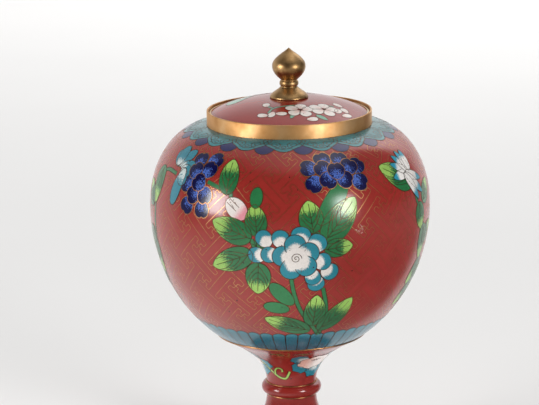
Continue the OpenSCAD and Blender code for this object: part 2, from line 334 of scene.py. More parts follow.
def draw_wire(bm, wall, path, closed=False, width=0.45, proud=0.03):
    """Lays one wire along a path of (azimuth, height up the wall): a chain of vertices at its left side,
    which carry the way across the wire and the way up out of the enamel for raise_inlay."""
    across = bm.verts.layers.float_vector["across"]
    rise = bm.verts.layers.float_vector["rise"]
    count = len(path)
    flat = [Vector((math.radians(azimuth), v)) for azimuth, v in path]
    chain = []
    for i, p in enumerate(flat):
        before = flat[(i - 1) % count] if closed or i else p
        after = flat[(i + 1) % count] if closed or i < count - 1 else p
        r = wall.radius(p.y)
        ways = []
        for a, b in ((before, p), (p, after)):
            way = Vector(((b.x - a.x) * r, b.y - a.y))
            if way.length > 1e-6:
                ways.append(way.normalized())
        way = sum(ways, Vector((0, 0)))
        if way.length < 0.2:
            way = ways[0].copy()
        spread = width / 2 / max((way / len(ways)).length, 0.7)
        way.normalize()
        left = Vector((-way.y, way.x)) * spread
        low, out = wall.spot(math.degrees(p.x + left.x / r), p.y + left.y, -BURIED)
        other, _ = wall.spot(math.degrees(p.x - left.x / r), p.y - left.y, -BURIED)
        vertex = bm.verts.new(low)
        vertex[across] = other - low
        vertex[rise] = out * (BURIED + proud) * MM
        chain.append(vertex)
    pairs = zip(chain, chain[1:] + chain[:1]) if closed else zip(chain, chain[1:])
    for pair in pairs:
        bm.edges.new(pair)


def new_wires():
    """A bmesh ready for draw_wire."""
    bm = bmesh.new()
    bm.verts.layers.float_vector.new("across")
    bm.verts.layers.float_vector.new("rise")
    return bm


def raise_inlay(bm):
    """Pushes every face of a sunk sheet out to the surface, so that it becomes a closed solid."""
    rise = bm.verts.layers.float_vector["rise"]
    made = bmesh.ops.extrude_face_region(bm, geom=bm.faces[:], use_keep_orig=True)
    for item in made["geom"]:
        if isinstance(item, bmesh.types.BMVert):
            item.co += item[rise]


def roll_wires(bm):
    """Turns the laid chains into flat wires: across first, then up to the surface."""
    across = bm.verts.layers.float_vector["across"]
    made = bmesh.ops.extrude_edge_only(bm, edges=bm.edges[:])
    for item in made["geom"]:
        if isinstance(item, bmesh.types.BMVert):
            item.co += item[across]
    raise_inlay(bm)


def fret_link(start, along, side):
    """One link of the fret from a crossing to the next, with a hook at each end on the same side."""
    def p(a, s):
        """A point of the flat pattern, along the link and aside of it."""
        return start + along * a + side * s
    corners = [p(0, 0), p(0, FRET_NEAR), p(-FRET_HOOK, FRET_NEAR), p(-FRET_HOOK, FRET_FAR),
               p(FRET_LINK + FRET_HOOK, FRET_FAR), p(FRET_LINK + FRET_HOOK, FRET_NEAR),
               p(FRET_LINK, FRET_NEAR), p(FRET_LINK, 0)]
    path = [corners[0]]
    for a, b, c in zip(corners, corners[1:], corners[2:]):
        first = b + (a - b).normalized() * FRET_BEND
        last = b + (c - b).normalized() * FRET_BEND
        for t in (0.0, 0.33, 0.67, 1.0):
            path.append(first.lerp(b, t).lerp(b.lerp(last, t), t))
    path.append(corners[-1])
    # long straights are broken up so that the wire lies down on the globe
    fine = []
    for a, b in zip(path, path[1:]):
        parts = max(1, math.ceil((b - a).length / 3.5))
        fine += [a.lerp(b, i / parts) for i in range(parts)]
    return fine + [path[-1]]


FRET_LOW, FRET_TOP = -76.0, 56.0
FRET_REACH = 130            # how far the rows are worked out, up and down
fret = new_wires()


def fret_rows(way):
    """Height up the wall of each millimetre of the flat pattern, going up (1) or down (-1). The rows close
    up a little where the globe narrows, as a wire worker squares the links by eye."""
    heights = [0.0]
    for _ in range(FRET_REACH):
        heights.append(heights[-1] + way * (globe.radius(heights[-1]) / GLOBE_R) ** 0.45)
    return heights


rows, downs = fret_rows(1), fret_rows(-1)


def fret_height(y):
    """Height up the wall of the flat pattern's height y."""
    table = rows if y >= 0 else downs
    y = min(abs(y), FRET_REACH - 1.0)
    return table[int(y)] + (table[int(y) + 1] - table[int(y)]) * (y % 1)


half = FRET_LINK / math.sqrt(2)
for row in range(-9, 8):
    for column in range(FRET_REPEATS):
        start = Vector((half * (2 * column + row % 2), row * half + 2.0))
        turn = 1 if row % 2 else -1
        for lean in (45, 135):
            way = Vector((math.cos(math.radians(lean)), math.sin(math.radians(lean))))
            side = Vector((way.y, -way.x)) * turn
            path = []
            for p in fret_link(start, way, side):
                path.append((math.degrees(p.x / GLOBE_R), fret_height(p.y)))
            kept = [p for p in path if FRET_LOW < p[1] < FRET_TOP]
            whole = len(kept) > 3 and path.index(kept[-1]) - path.index(kept[0]) == len(kept) - 1
            if whole:
                draw_wire(fret, globe, kept, width=FRET_WIRE)
roll_wires(fret)


def mottled_metal(name, scale, detail, stops, roughness):
    """Bare metal that wanders between a few tones."""
    material, tree, spot = new_material(name)
    wander = add(tree, "TexNoise", {"Vector": spot, "Scale": scale, "Detail": detail})
    tone = add(tree, "ValToRGB", {"Fac": wander.outputs["Fac"], "stops": stops})
    skin = add(tree, "BsdfPrincipled", {"Base Color": tone.outputs["Color"], "Metallic": 1.0,
                                        "Roughness": roughness})
    add(tree, "OutputMaterial", {"Surface": skin.outputs[0]})
    return material


# Drawn brass wire, stoned flat with the enamel: bright yellow copper colour, softly burnished.
wire_brass = mottled_metal("stoned_brass_wire", 300.0, 3.0, [(0.35, "#9A6A44"), (0.7, "#BE8E5E")], 0.34)
# The wires inside the sprays and bands: the same brass wire with painted shade, a darker copy of its colour,
# so that it reads dark against the enamel.
wire_brown = mottled_metal("painted_shade_wire", 260.0, 3.0, [(0.35, "#3C2B22"), (0.7, "#6C503A")], 0.42)
make_piece("key_fret", fret, wire_brass, "jar")


# ---------------------------------------------------------------------------------------
# Sprays of the globe: flowers and leaves in closed wire cells, each packed with one or two
# colours of enamel. One spray fills the front and the same one turned fills the back.
def new_cells():
    """A bmesh ready for lay_cell."""
    bm = bmesh.new()
    bm.verts.layers.float_vector.new("rise")
    bm.verts.layers.float_vector.new("cell")
    return bm


def cell_path(wall, seat, turn, size, shape, points):
    """Points given in a cell's own round frame, taken through its shape and onto the wall."""
    swing = math.radians(turn)
    azimuth, v = seat
    path = []
    for x, y in points:
        across, along = shape(x, y)
        across *= size[0] / 2
        along *= size[1] / 2
        right = across * math.cos(swing) + along * math.sin(swing)
        up = along * math.cos(swing) - across * math.sin(swing)
        path.append((azimuth + math.degrees(right / wall.radius(v + up)), v + up))
    return path


def tipped(x, y):
    """Mark of a cell whose second colour fills its point."""
    return x, (y + 1) / 2


def lipped(x, y):
    """Mark of a cell whose second colour runs all along its lip."""
    return x, 0.3 * math.hypot(x, y) + 0.35 * (y + 1)


WIRE_OVER = 0.015           # how far a cell's wire stands over its enamel


def stand(layer):
    """How far a cell of this layer stands proud, so that two that overlap never share a face."""
    return 0.05 + 0.03 * layer


def lay_cell(cells, wires, wall, seat, turn, size, shape, layer, veins=(), width=0.4, fine=8, mark_of=tipped):
    """One enamel cell: a grid rounded to a disc, then to its shape, laid on the wall at seat = (azimuth,
    height up) with its point turned clockwise from upright, and a wire round it and along its veins.
    Each corner is marked with its lane and how far it lies towards the second colour. With no wires
    given, the cell is bare."""
    rise = cells.verts.layers.float_vector["rise"]
    mark = cells.verts.layers.float_vector["cell"]
    proud = stand(layer)
    made = bmesh.ops.create_grid(cells, x_segments=fine, y_segments=fine, size=1.0)
    for vertex in made["verts"]:
        u, t = vertex.co.x, vertex.co.y
        x, y = u * math.sqrt(1 - t * t / 2), t * math.sqrt(1 - u * u / 2)
        place = cell_path(wall, seat, turn, size, shape, [(x, y)])[0]
        low, out = wall.spot(place[0], place[1], -BURIED)
        vertex.co = low
        vertex[rise] = out * (BURIED + proud) * MM
        vertex[mark] = (*mark_of(x, y), 0.0)
    if wires is None:
        return
    rim = [(math.sin(2 * math.pi * i / 36), math.cos(2 * math.pi * i / 36)) for i in range(36)]
    draw_wire(wires, wall, cell_path(wall, seat, turn, size, shape, rim), True, width, proud + WIRE_OVER)
    for vein in veins:
        line = cell_path(wall, seat, turn, size, shape, vein)
        draw_wire(wires, wall, line, False, width, proud + WIRE_OVER)


def seat_at(x, v, turned=0.0):
    """A seat x mm round the globe from the front, at height v, turned with its spray."""
    return turned + math.degrees(x / globe.radius(v)), v


def petal(x, y):
    """Round petal, a little narrower at the root."""
    return x * (0.94 + 0.1 * y), y


def notched(x, y):
    """Round petal with a nick in its lip."""
    nick = 0.2 * math.exp(-(x / 0.17) ** 2) * max(y, 0) ** 2
    return x * (0.96 + 0.1 * y), y - nick


def leaf(x, y):
    """Leaf: broad below the middle, drawn to a short point."""
    return x * 1.14 * (max(1 - y, 0) / 2) ** 0.2, y


def oval(x, y):
    """Plain oval: the round frame as it is."""
    return x, y


def leaf_veins(pairs):
    """The midrib and its side veins, which leave it steeply and run on towards the point."""
    veins = [[(0, -0.96 + 0.16 * i) for i in range(12)]]
    for i in range(pairs):
        root = -0.8 + 1.1 * i / pairs
        for hand in (-1, 1):
            vein = []
            for step in range(7):
                s = step / 6
                y = min(root + (0.95 - 0.25 * i / pairs) * s, 0.93)
                vein.append((hand * 0.86 * s ** 0.7 * math.sqrt(1 - y * y), y))
            veins.append(vein)
    return veins


def draw_stalk(cells, wires, wall, path, width, layer):
    """A stalk: a narrow cell along a path of (azimuth, height), with a wire down each side."""
    rise = cells.verts.layers.float_vector["rise"]
    mark = cells.verts.layers.float_vector["cell"]
    proud = stand(layer)
    count = len(path) - 1
    made = bmesh.ops.create_grid(cells, x_segments=2, y_segments=count * 4, size=1.0)

    def place(u, t):
        """A point of the stalk: u across it and t along it, each from -1 to 1."""
        f = min(max((t + 1) / 2 * count, 0.0), count - 1e-6)
        i = int(f)
        p = [path[max(i - 1, 0)], path[i], path[i + 1], path[min(i + 2, count)]]
        s = f - i
        flat = []
        for k in (0, 1):
            a, b, c, e = p[0][k], p[1][k], p[2][k], p[3][k]
            flat.append(0.5 * (2 * b + (c - a) * s + (2 * a - 5 * b + 4 * c - e) * s * s
                               + (3 * b - a - 3 * c + e) * s ** 3))
        way = Vector((math.radians(p[2][0] - p[1][0]) * wall.radius(flat[1]), p[2][1] - p[1][1]))
        way.normalize()
        side = u * width / 2
        return (flat[0] + math.degrees(way.y * side / wall.radius(flat[1])), flat[1] - way.x * side)

    for vertex in made["verts"]:
        u, t = vertex.co.x, vertex.co.y
        azimuth, v = place(u, t)
        low, out = wall.spot(azimuth, v, -BURIED)
        vertex.co = low
        vertex[rise] = out * (BURIED + proud) * MM
        vertex[mark] = (u, 0.0, 0.0)
    for hand in (-1, 1):
        edge = [place(hand, 2 * i / (count * 4) - 1) for i in range(count * 4 + 1)]
        draw_wire(wires, wall, edge, False, 0.4, proud + WIRE_OVER)


# what grows in the main spray, in mm round from its middle and mm above the widest place:
# leaves by their root and point, breadth, pairs of side veins
SPRAY_LEAVES = [
    ((-20, 0), (-22, 19.5), 14, 3), ((-24, -2), (-50, 7.5), 16, 3), ((-23, -11), (-50.5, -22), 15, 3),
    ((-19, -17), (-21, -39), 16, 3), ((14, 2), (11, 22), 15, 3), ((16, 7), (36, 33), 12, 0),
    ((20, -4), (41.5, 22), 18, 4), ((21, -9), (39.5, -7.5), 12, 2), ((11, -71), (-17, -58.5), 14, 4),
    ((14.5, -66), (15, -40), 14, 3), ((20, -71), (37.5, -44.5), 14, 3), ((-37, 24), (-38, 47.5), 13, 2),
    ((-21, 17), (-20, 30.0), 8, 0), ((1, -47), (-12.5, -31), 10, 0), ((-1, -51), (-17, -48), 9, 0),
]
SPRAY_STALKS = [
    [(0, -25), (2, -38), (6, -52), (12, -64), (17, -76)],
    [(20, -35), (22, -50), (21, -62), (17, -76)],
    [(29, 37), (27, 28), (22, 16), (17, 4)],
    [(-37, 28), (-37, 22), (-34, 17)], [(-54, 30.5), (-46, 28), (-38, 26)],
    [(-21, 18), (-20, 2), (-19, -12)], [(-31, 0), (-14, -8)], [(-31, -14), (-14, -9)],
    [(-24, -2), (-19, -17)], [(15, 4), (15, -6)], [(16, 2), (28, -6)],
]
# petals from the back of the flower to its front: middle, which way the lip points
LEFT_BLOSSOM = [(-61, 43.5, -10), (-48.5, 45, 60), (-71.5, 27, -80), (-71, 14, -150), (-58.5, 13, 175),
                (-64, 36, -35), (-53, 38, 30), (-65.5, 21, -115), (-56, 22, 165), (-61, 29, -60)]
RIGHT_BLOSSOM = [(20, 48, -15), (31, 47.5, 10), (11.5, 42.5, -85), (43, 41.5, 50), (15, 32, -145),
                 (45, 31, 115), (20.5, 41.5, -45), (37.5, 41.5, 35), (24, 34, -155), (34.5, 33.5, 110),
                 (29, 39.5, 0)]
# the peony's outer petals, then the five that close on its eye
PEONY_BACK = [(-20.5, -12, -90, 11), (-16, -1.5, -40, 11), (-6, -1.5, -5, 11.5), (-12.5, -11.5, -90, 11),
              (6.5, 0.5, 5, 13), (16.5, -4.5, 40, 13), (24, -23.5, 120, 12), (19.5, -16.5, 85, 12),
              (15.5, -31, 165, 11.5), (13.5, -26.5, 160, 10.5)]
PEONY_FRONT = (-82, -4, 68, -156, 133)
EYE = (14, 14)              # breadth and height of the eye

leaves, stalks, navy, peony, eyes, bud, asters, posies = [new_cells() for _ in range(8)]
leaf_wires, navy_wires, peony_wires, aster_wires = [new_wires() for _ in range(4)]
LAPPET_V = globe.height_of(belly(43.3)[1])


def lay_leaf(root, point, breadth, pairs, turned, hand=1, wall=globe, layer=2):
    """A leaf between two places given in mm round from the spray's own middle. One without side veins is
    a small round leaf, all of one green."""
    middle_v = (root[1] + point[1]) / 2
    seat = (turned + math.degrees(hand * (root[0] / wall.radius(root[1])
                                          + point[0] / wall.radius(point[1])) / 2), middle_v)
    right = hand * (point[0] - root[0])
    up = point[1] - root[1]
    cells, shape, veins = (leaves, leaf, leaf_veins(pairs)) if pairs else (stalks, oval, ())
    lay_cell(cells, leaf_wires, wall, seat, math.degrees(math.atan2(right, up)),
             (breadth, math.hypot(right, up)), shape, layer, veins)


def fan_petal(cells, wires, x, v, turned, hand, way, length, breadth, shape, layer, mark_of=lipped):
    """A petal that runs out from its root at (x, v), the way given in degrees clockwise from upright."""
    swing = math.radians(way)
    middle = (x + math.sin(swing) * length / 2, v + math.cos(swing) * length / 2)
    lay_cell(cells, wires, globe, seat_at(hand * middle[0], middle[1], turned), hand * way,
             (breadth, length), shape, layer, mark_of=mark_of)


for turned, hand in ((0, 1), (180, -1)):
    for line in SPRAY_STALKS:
        path = [seat_at(hand * x, max(v, LAPPET_V - 2), turned) for x, v in line]
        draw_stalk(stalks, leaf_wires, globe, path, 2.6, 1)
    for i, (root, point, breadth, pairs) in enumerate(SPRAY_LEAVES):
        lay_leaf(root, point, breadth, pairs, turned, hand, layer=2 + 0.4 * (i % 4))
    for flower in (LEFT_BLOSSOM, RIGHT_BLOSSOM):
        for i, (x, v, way) in enumerate(flower):
            lay_cell(navy, navy_wires, globe, seat_at(hand * x, v, turned), hand * way, (11.6, 11.4),
                     notched, 3 + i * 0.7, mark_of=lipped)
    for i, (x, v, way, breadth) in enumerate(PEONY_BACK):
        lay_cell(peony, peony_wires, globe, seat_at(hand * x, v, turned), hand * way, (breadth, 11.5),
                 petal, 3 + i * 0.6, mark_of=lipped)
    for i, way in enumerate(PEONY_FRONT):
        fan_petal(peony, peony_wires, 3.5, -13.5, turned, hand, way, 14.8, 14.0, petal, 9.5 + i * 0.6)
    # the eye of the peony: one bare white cell over the petals' roots, with a coiled wire in it
    eye = seat_at(hand * 3.5, -13.8, turned)
    lay_cell(eyes, None, globe, eye, 0, EYE, oval, 13)
    coil = []
    for i in range(30):
        reach, swing = 0.5 - 0.0165 * i, i / 2.4
        coil.append((hand * reach * math.cos(swing), reach * math.sin(swing)))
    draw_wire(peony_wires, globe, cell_path(globe, eye, 0, EYE, oval, coil), False, 0.45, 0.48)
    # the bud: white, blushed where it leans on the leaves
    lay_cell(bud, leaf_wires, globe, seat_at(hand * -33.5, 16, turned), hand * 128, (12, 17), oval, 1.6,
             [[(0.1 * k, -0.9 + 0.25 * i) for i in range(5)] for k in (-3, 2)])

# side sprays between the front and the back: a spiky aster and a posy, each over a climbing stalk.
# Flowers by each petal's way, length and breadth, stalks and leaves as in the main spray.
ASTER = [(-95, 15, 6.5), (-62, 17, 6), (-40, 17, 6), (-18, 16, 6), (5, 15, 6.5), (112, 19, 6),
         (132, 24, 6.5), (150, 22, 6.5)]
POSY = [(-35, 13, 9), (35, 16, 9), (75, 13, 8), (-5, 15, 9), (110, 10, 9), (160, 12, 9), (192, 25, 9.5)]
RIGHT_CLIMBER = [(92, 27), (97, 13), (103, 1), (106, -14), (104, -32), (96, -50), (84, -70)]
LEFT_CLIMBER = [(-84, 31), (-98, 31), (-108, 18), (-112, 0), (-112, -20), (-104, -42), (-90, -66)]
RIGHT_LEAVES = [
    ((90, 22), (64, 38), 17, 4), ((101, 9), (104, -9), 13, 3), ((106, -6), (107, -30), 13, 3),
    ((108, -30), (93, -46), 12, 3), ((98, -46), (83, -62), 12, 3), ((106, 8), (122, 20), 12, 3),
    ((108, -18), (126, -8), 12, 3), ((100, -44), (116, -38), 11, 3),
]
LEFT_LEAVES = [
    ((-106, 33), (-107, 8), 14, 3), ((-112, -14), (-110, -40), 13, 3), ((-113, 6), (-128, 20), 12, 3),
    ((-114, -10), (-130, -22), 12, 3), ((-106, -38), (-120, -50), 12, 3),
]
for hand, turned in ((1, 0), (-1, 180)):
    for line, foliage in ((RIGHT_CLIMBER, RIGHT_LEAVES), (LEFT_CLIMBER, LEFT_LEAVES)):
        path = [seat_at(hand * x, v, turned) for x, v in line]
        draw_stalk(stalks, leaf_wires, globe, path, 2.4, 1)
        for i, (root, point, breadth, pairs) in enumerate(foliage):
            lay_leaf(root, point, breadth, pairs, turned, hand, layer=2 + 0.4 * (i % 4))
    for i, (way, length, breadth) in enumerate(ASTER):
        fan_petal(asters, aster_wires, 88, 30, turned, hand, way, length, breadth, leaf, 3 + 0.6 * i, tipped)
    for i, (way, length, breadth) in enumerate(POSY):
        fan_petal(posies, aster_wires, -79, 36, turned, hand, way, length, breadth, petal, 3 + 0.6 * i,
                  tipped)
for bm in (leaves, stalks, navy, peony, bud, eyes, asters, posies):
    raise_inlay(bm)
for bm in (leaf_wires, navy_wires, peony_wires, aster_wires):
    roll_wires(bm)

# Leaf cells: copper green glass at the stalk, packed with yellow green towards the point.
leaf_green = enamel("leaf_green_enamel", "#21683A", "#93BC5C", turn_at=0.66, spread=0.07, ragged=0.3,
                    streaks=0.6)
make_piece("spray_leaves", leaves, leaf_green, "jar")
# Stalks and the small round leaves: the same green glass, unmixed.
stalk_green = enamel("stalk_green_enamel", "#276F40")
make_piece("spray_stalks", stalks, stalk_green, "jar")
# Cobalt cells: nearly black blue at the lip, streaked with opaque pale blue at the root.
cobalt = enamel("cobalt_petal_enamel", "#4C6ABA", "#05053C", turn_at=0.4, spread=0.08, ragged=1.2,
                streaks=0.3, grain=0.3)
make_piece("navy_petals", navy, cobalt, "jar")
# Peony cells: tin white at the root, turquoise at the lip.
peony_white = enamel("peony_petal_enamel", "#DDD6D0", "#1F7C8C", turn_at=0.52, spread=0.07, streaks=0.22,
                     grain=0.18)
make_piece("peony_petals", peony, peony_white, "jar")
# The peony's eye: tin white, packed a little greyer than the petals.
eye_white = enamel("peony_eye_enamel", "#DED7D1", grain=0.14)
make_piece("peony_eyes", eyes, eye_white, "jar")
# Buds: tin white with a blush of gold pink at the point.
blush = enamel("blush_white_enamel", "#E2D9D4", "#D98E98", turn_at=0.66, spread=0.16, grain=0.12)
make_piece("blush_buds", bud, blush, "jar")
# Aster cells: tin white, tipped with bright turquoise at the point.
aster_white = enamel("aster_petal_enamel", "#DCD8D4", "#2A8AA0", turn_at=0.66, spread=0.08, streaks=0.3)
make_piece("aster_petals", asters, aster_white, "jar")
# Posy cells: pale blue white at the root and turquoise beyond it.
posy_blue = enamel("posy_petal_enamel", "#C9D5D4", "#2A7E90", turn_at=0.3, spread=0.1, ragged=0.4,
                   streaks=0.3)
make_piece("posy_petals", posies, posy_blue, "jar")
# the cobalt flowers keep the plain brass wire; every other spray wire takes the darker copy with painted
# shade
for name, bm in (("leaf_wires", leaf_wires), ("navy_wires", navy_wires), ("peony_wires", peony_wires),
                 ("aster_wires", aster_wires)):
    make_piece(name, bm, wire_brass if name == "navy_wires" else wire_brown, "jar")


# ---------------------------------------------------------------------------------------
# Cloud band: seventeen cloud heads under the collar, each a scalloped cell with two coiled
# wires, and a dark blue moon showing between each two.
CLOUDS = 17
heads, moons, cloud_wires = new_cells(), new_cells(), new_wires()
FIRST_HEAD = -3.2           # azimuth of the head nearest the front
HEAD_SIZE = (25.6, 25.5)    # breadth and height of a head


def cloud_head(x, y):
    """Cloud head: five scallops below, squeezed flat above where the collar stands."""
    angle = math.atan2(x, -y)
    scallop = 0.93 + 0.11 * abs(math.cos(2.5 * angle))
    return x * scallop, y * scallop if y < 0 else y * 0.2


for i in range(CLOUDS):
    azimuth = FIRST_HEAD + 360 / CLOUDS * i
    lay_cell(moons, cloud_wires, globe, (azimuth + 180 / CLOUDS, 59.2), 0, (13, 13), oval, 0.5)
    seat = (azimuth, COLLAR_V - 2.4)
    lay_cell(heads, cloud_wires, globe, seat, 0, HEAD_SIZE, cloud_head, 1.6, fine=14, width=0.42)
    inner = [(0.8 * math.sin(2 * math.pi * (k - 9) / 36), -0.8 * math.cos(2 * math.pi * (k - 9) / 36))
             for k in range(19)]
    draw_wire(cloud_wires, globe, cell_path(globe, seat, 0, HEAD_SIZE, cloud_head, inner), False, 0.4, 0.12)
    for hand in (-1, 1):
        coil = []
        for k in range(26):
            reach = 0.3 * (1 - k / 30)
            swirl = math.radians(90 - 22 * k)
            coil.append((hand * (0.42 - reach * math.cos(swirl)), -0.46 - reach * math.sin(swirl)))
        draw_wire(cloud_wires, globe, cell_path(globe, seat, 0, HEAD_SIZE, oval, coil), False, 0.38, 0.12)
    knot = [(0.1 * math.sin(math.pi * k / 5), -0.66 + 0.1 * math.cos(math.pi * k / 5)) for k in range(10)]
    draw_wire(cloud_wires, globe, cell_path(globe, seat, 0, HEAD_SIZE, oval, knot), True, 0.38, 0.12)

# Opaque turquoise, speckled where the powder was coarse.
turquoise = enamel("cloud_turquoise_enamel", "#357A80", grain=0.3)
band_low, band_high = COLLAR_V - 8.5, COLLAR_V
raised = globe.run(band_low, band_high, 1.4, -0.06)
sunk = globe.run(band_low, band_high, 1.4, 0.5)[::-1]
make_piece("cloud_ground", spun(raised + sunk), turquoise, "jar", "cloud_band")
for bm in (heads, moons):
    raise_inlay(bm)
roll_wires(cloud_wires)
make_piece("cloud_heads", heads, turquoise, "jar")
# Dark cobalt, plain.
moon_blue = enamel("moon_blue_enamel", "#1A1A52")
make_piece("cloud_moons", moons, moon_blue, "jar")
make_piece("cloud_outline_wires", cloud_wires, wire_brown, "jar", "cloud_wire")


# ---------------------------------------------------------------------------------------
# Lappet band: fifty upright lappets in wire cells round the underside, standing on the
# round wire that hides the joint between the globe and the stem.
LAPPETS = 50
FIRST_LAPPET = 0.3          # azimuth of the lappet nearest the front
lappets, lappet_wires = new_cells(), new_wires()


def lappet(x, y):
    """Lappet: a round head on straight sides that close in towards the ring."""
    if y > 0:
        return x, 0.72 + 0.28 * y
    side = x / max(math.sqrt(1 - y * y), 0.25)
    side = max(-1.0, min(1.0, side))
    share = -y
    return x * (1 - share) + side * share * 0.84, 0.72 + 1.72 * y


middle_v = (RING_V + LAPPET_V) / 2
for i in range(LAPPETS):
    azimuth = FIRST_LAPPET + 360 / LAPPETS * i
    lay_cell(lappets, lappet_wires, globe, (azimuth, middle_v), 0,
             (8.3, LAPPET_V - RING_V), lappet, 0.6, fine=10, width=0.4)
raise_inlay(lappets)
roll_wires(lappet_wires)
# Deep turquoise blue, darker in the hollow of each cell where the glass lies thicker.
lappet_blue = enamel("lappet_blue_enamel", "#266678", "#2C7888", grain=0.3)
make_piece("lappet_cells", lappets, lappet_blue, "jar", "petal_band")
make_piece("lappet_wires", lappet_wires, wire_brown, "jar", "petal_top_wire")


def bead_outline(r, z, size, turn):
    """Outline of a round wire ring of this radius of wire, a corner every few degrees."""
    return [(r + size * math.cos(math.radians(a)), z + size * math.sin(math.radians(a)))
            for a in range(0, 360, turn)]


# the ring itself: a round brass wire soldered into the joint, worn dull
ring_v = RING_V + 0.3
p, n = globe.at(ring_v)
bead = bead_outline(p.x + n.x * 0.05, p.y + n.y * 0.05, 0.62, 36)
make_piece("joint_wire", spun(bead), wire_brass, "jar", "petal_wire", crease=60)


# ---------------------------------------------------------------------------------------
# Stem enamel: the same red ground on the hollow curve between the globe and the knop, with
# a lotus and curled tendrils in wire cells.
STEM_V = globe.up[0]
make_piece("stem_ground", spun(coat_outline(globe, STEM_V, RING_V, 1.2), 240), red_enamel,
           "jar", "stem_enamel")

lotus_lip, lotus_heart, tendrils, stem_wires = new_cells(), new_cells(), new_cells(), new_wires()


def ragged_lip(x, y):
    """Outer lotus petals in one cell: a broad fan with a wavy lip."""
    angle = math.atan2(x, y)
    wave = 1 + 0.07 * math.cos(7 * angle) + 0.03 * math.cos(15 * angle)
    return x * wave, y * wave


# outer petals of the lotus: degrees aside, height, which way, breadth and length; then the tendrils as
# degrees aside and height over the table, and the curls under the ring as degrees and height along it
LOTUS = [(-25, 4.6, -60, 12, 12), (24, 5.0, 50, 12, 12), (-18, -5.5, -130, 14, 13), (31, -4.5, 110, 12, 14),
         (15, -10.5, 165, 15, 12)]
LONG_TENDRIL = [(-92, 69), (-80, 63), (-68, 59.5), (-56, 57.6), (-46, 58.4), (-39, 63)]
HOOK_TENDRIL = [(-71, 60.5), (-68, 64), (-60, 65.6), (-54, 64.6), (-54, 62.6)]
CURL = [(0, 0.2), (6, 1.6), (12, 1.4), (14, -0.2), (9, -0.9), (8, 0.3)]
v = globe.height_of(71.6)
curl_v = globe.height_of(80.2)
for turned in (36, 156, 276):
    seat = (turned, v)
    for side, up, way, breadth, length in LOTUS:
        lay_cell(lotus_lip, stem_wires, globe, (turned + side, v + up), way, (breadth, length), ragged_lip, 1,
                 fine=12, mark_of=lipped)
    lay_cell(lotus_heart, stem_wires, globe, (turned + 2, v - 1.0), 90, (15, 24), ragged_lip, 3, fine=12)
    for k in range(5):
        swing = math.radians(-60 + 30 * k + 90)
        anther = [(0.05 * math.cos(swing), 0.05 * math.sin(swing)),
                  (0.45 * math.cos(swing), 0.45 * math.sin(swing))]
        draw_wire(stem_wires, globe, cell_path(globe, seat, 0, (20, 12), oval, anther), False, 0.45, 0.2)
    # a tendril in a lying S between two flowers, a hook in its bend, and two small curls under the ring
    for line, width, layer in ((LONG_TENDRIL, 1.7, 1), (HOOK_TENDRIL, 1.5, 1.5)):
        path = [(turned + a, globe.height_of(z)) for a, z in line]
        draw_stalk(tendrils, stem_wires, globe, path, width, layer)
    for start in (-57, -33):
        swirl = [(turned + start + a, curl_v + b) for a, b in CURL]
        draw_stalk(tendrils, stem_wires, globe, swirl, 0.9, 1)
for bm in (lotus_lip, lotus_heart, tendrils):
    raise_inlay(bm)
roll_wires(stem_wires)
# Outer petals of the lotus: tin white at the root, turquoise along the lip.
lip_blue = enamel("lotus_lip_enamel", "#DCE4DF", "#247C8E", turn_at=0.42, spread=0.12, streaks=0.3)
make_piece("lotus_outer_petals", lotus_lip, lip_blue, "jar")
# Tin white with iron pink rubbed into its middle.
heart_white = enamel("lotus_heart_enamel", "#E9B7A8", "#F1E3DC", turn_at=0.35, spread=0.2)
make_piece("lotus_heart", lotus_heart, heart_white, "jar")
# Tendrils: pale yellow green, plain.
tendril_green = enamel("tendril_green_enamel", "#A8C86A")
make_piece("stem_tendrils", tendrils, tendril_green, "jar")
make_piece("stem_wires", stem_wires, wire_brown, "jar")


# ---------------------------------------------------------------------------------------
# Knop: a copper bead at the waist under the same red enamel, between two brass wires. The
# stem and the foot are brazed to it from above and below.
KNOP_Z = 44.0
KNOP_IN, KNOP_FACE = WAIST_R - 0.6, WAIST_R + 0.3
knop_outline = [(KNOP_IN, KNOP_Z), (KNOP_FACE, KNOP_Z)]
knop_outline += [(KNOP_FACE + 3.0 * math.cos(math.radians(a)), KNOP_Z + 4 + 3.6 * math.sin(math.radians(a)))
                 for a in range(-80, 81, 8)]
knop_outline += [(KNOP_FACE, WAIST_Z), (KNOP_IN, WAIST_Z)]
make_piece("knop_ground", spun(knop_outline, 240), red_enamel, "jar", "knop_enamel")
coat_node("knop_ring", copper)
for name, z in (("knop_top_wire", WAIST_Z), ("knop_low_wire", KNOP_Z)):
    bead = bead_outline(WAIST_R + 0.25, z, 0.45, 45)
    make_piece(name, spun(bead, 180), wire_brass, "jar", crease=60)


# ---------------------------------------------------------------------------------------
# Foot: a bell of the same enamel, with tendrils, small blossoms and a row of lappets,
# standing on a turned brass rim.
RIM_H = 7.0
FOOT_R = 51.0
BELL_R = FOOT_R - 2.5
BELL_H = KNOP_Z - RIM_H
bell = [bezier((WAIST_R, KNOP_Z), (WAIST_R, KNOP_Z - BELL_H * 0.44),
               (BELL_R - (BELL_R - WAIST_R) * 0.55, RIM_H + BELL_H * 0.13), (BELL_R, RIM_H), 1 - i / 120)
        for i in range(121)]
foot = Wall(bell, (BELL_R, RIM_H))
FOOT_TOP = foot.up[-1]
make_piece("foot_ground", spun(coat_outline(foot, 0, FOOT_TOP, 1.2)), red_enamel,
           "jar", "foot_enamel")

foot_cells, foot_wires = new_cells(), new_wires()
FOOT_LAPPETS = 36
for i in range(FOOT_LAPPETS):
    lay_cell(foot_cells, foot_wires, foot, (360 / FOOT_LAPPETS * i, 4.6), 0, (8.0, 9.0), lappet, 0.6)
foot_curls, foot_blossoms = new_cells(), new_cells()
FOOT_TENDRIL = [(-22, 20), (-16, 26), (-6, 27), (2, 21), (9, 15), (18, 14), (24, 18), (20, 21)]


